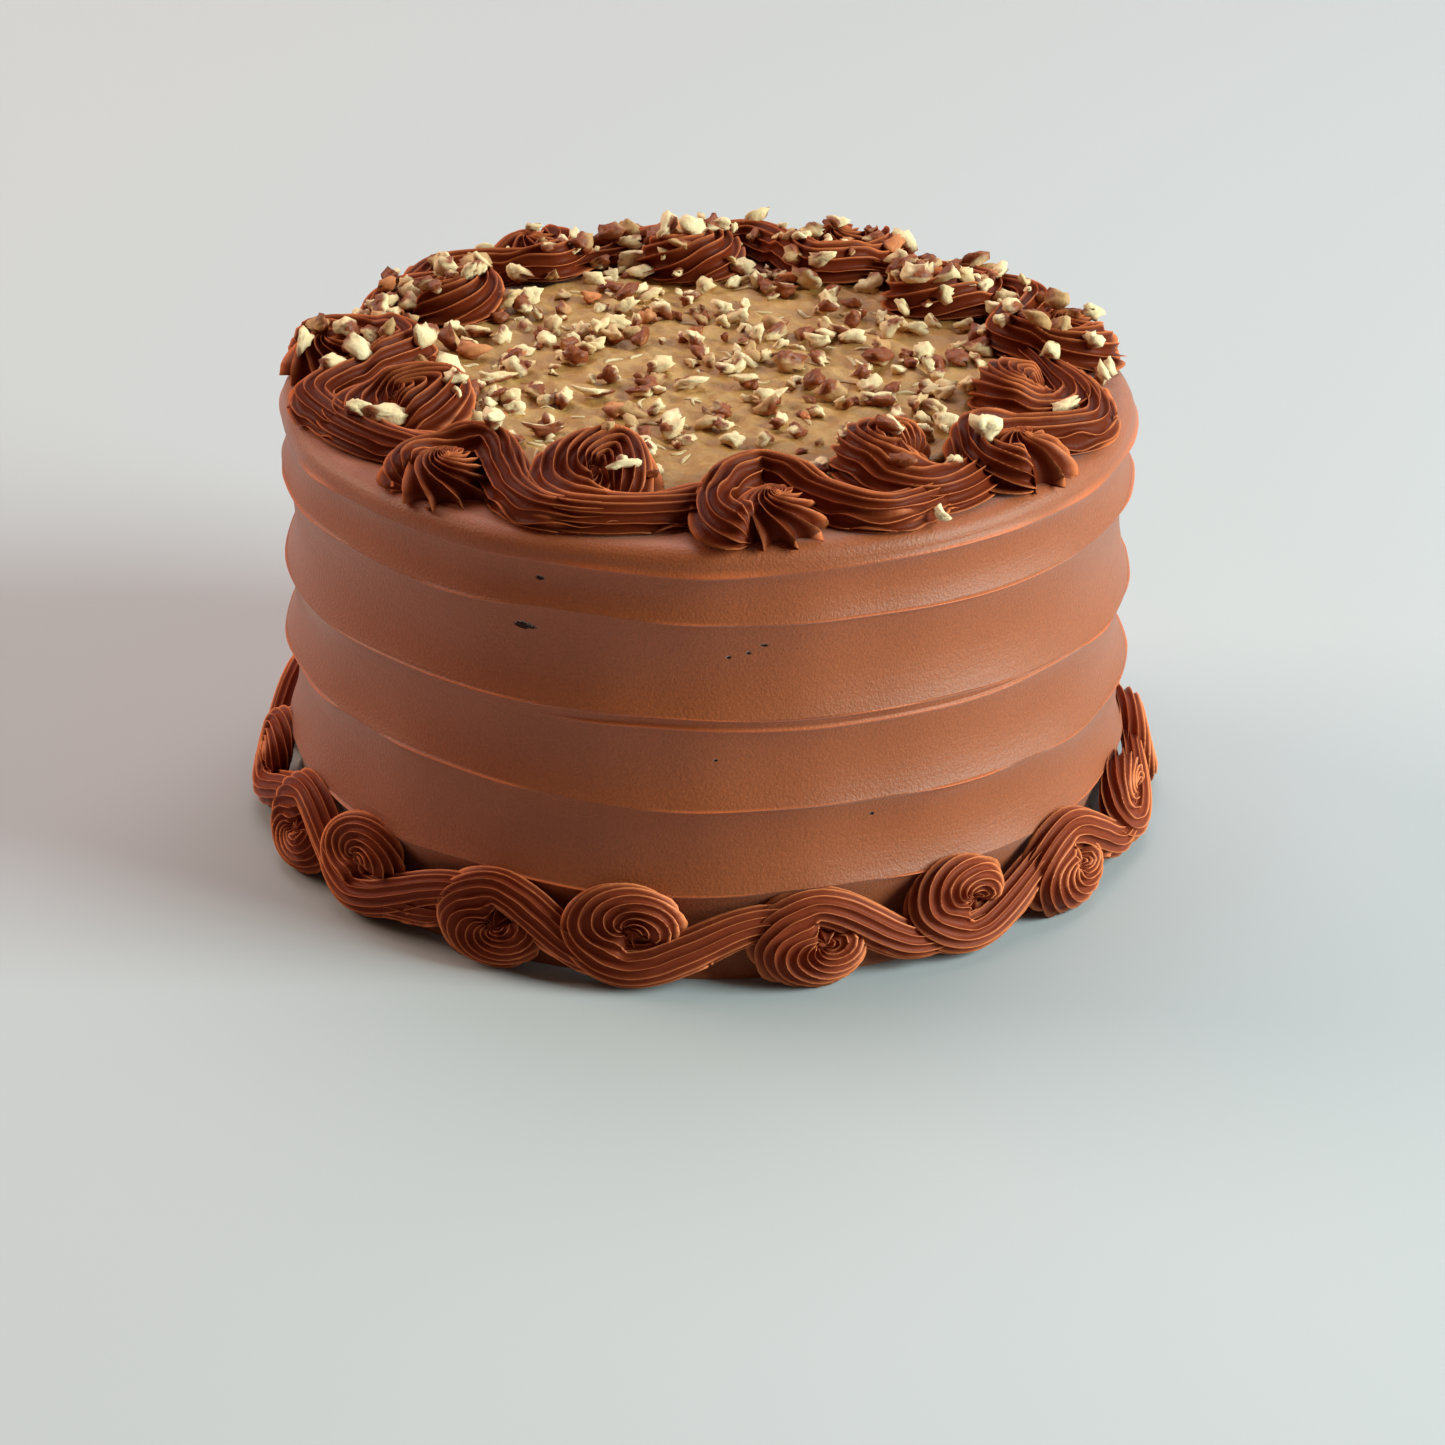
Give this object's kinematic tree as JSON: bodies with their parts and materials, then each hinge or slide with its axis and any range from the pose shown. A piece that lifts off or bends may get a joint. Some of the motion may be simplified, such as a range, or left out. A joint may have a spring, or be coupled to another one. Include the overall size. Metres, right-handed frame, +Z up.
{
  "type": "layer cake",
  "caption": "Whole round frosted chocolate layer cake with combed sides, piped shell borders and a glossy caramel top with chopped nuts.",
  "frame": {"origin": "centre of the cake's base, on the surface that it stands on", "axes": "+Z up along the cake's centre line; -Y is the side shown to the front, +X to its right"},
  "size_m": [0.2327, 0.2312, 0.1222],
  "materials": {
    "chocolate_frosting": "milk chocolate buttercream drawn round with a comb: satin, with fine drag lines and small pits",
    "piped_chocolate": "piped chocolate buttercream: deep star-tip ridges with a soft greasy shine",
    "caramel_filling": "cooked caramel with shredded coconut: lumpy, wet and glossy",
    "chopped_nut": "chopped nut: pale cut flesh with dark red-brown skin"
  },
  "bodies": {
    "root": {"frosted_cake": "chocolate_frosting", "caramel_topping": "caramel_filling", "top_shell_01": "piped_chocolate", "top_shell_02": "piped_chocolate", "top_shell_03": "piped_chocolate", "top_shell_04": "piped_chocolate", "top_shell_05": "piped_chocolate", "top_shell_06": "piped_chocolate", "top_shell_07": "piped_chocolate", "top_shell_08": "piped_chocolate", "top_shell_09": "piped_chocolate", "top_shell_10": "piped_chocolate", "top_shell_11": "piped_chocolate", "top_shell_12": "piped_chocolate", "top_shell_13": "piped_chocolate", "top_shell_14": "piped_chocolate", "bottom_shell_01": "piped_chocolate", "bottom_shell_02": "piped_chocolate", "bottom_shell_03": "piped_chocolate", "bottom_shell_04": "piped_chocolate", "bottom_shell_05": "piped_chocolate", "bottom_shell_06": "piped_chocolate", "bottom_shell_07": "piped_chocolate", "bottom_shell_08": "piped_chocolate", "bottom_shell_09": "piped_chocolate", "bottom_shell_10": "piped_chocolate", "bottom_shell_11": "piped_chocolate", "bottom_shell_12": "piped_chocolate", "bottom_shell_13": "piped_chocolate", "bottom_shell_14": "piped_chocolate", "bottom_shell_15": "piped_chocolate", "bottom_shell_16": "piped_chocolate", "bottom_shell_17": "piped_chocolate", "bottom_shell_18": "piped_chocolate", "nut_piece_01": "chopped_nut", "nut_piece_02": "chopped_nut", "nut_piece_03": "chopped_nut", "nut_piece_04": "chopped_nut", "nut_piece_05": "chopped_nut", "nut_piece_06": "chopped_nut", "nut_piece_07": "chopped_nut", "nut_piece_08": "chopped_nut", "nut_piece_09": "chopped_nut", "nut_piece_10": "chopped_nut", "nut_piece_11": "chopped_nut", "nut_piece_12": "chopped_nut"}
  },
  "joints": []
}
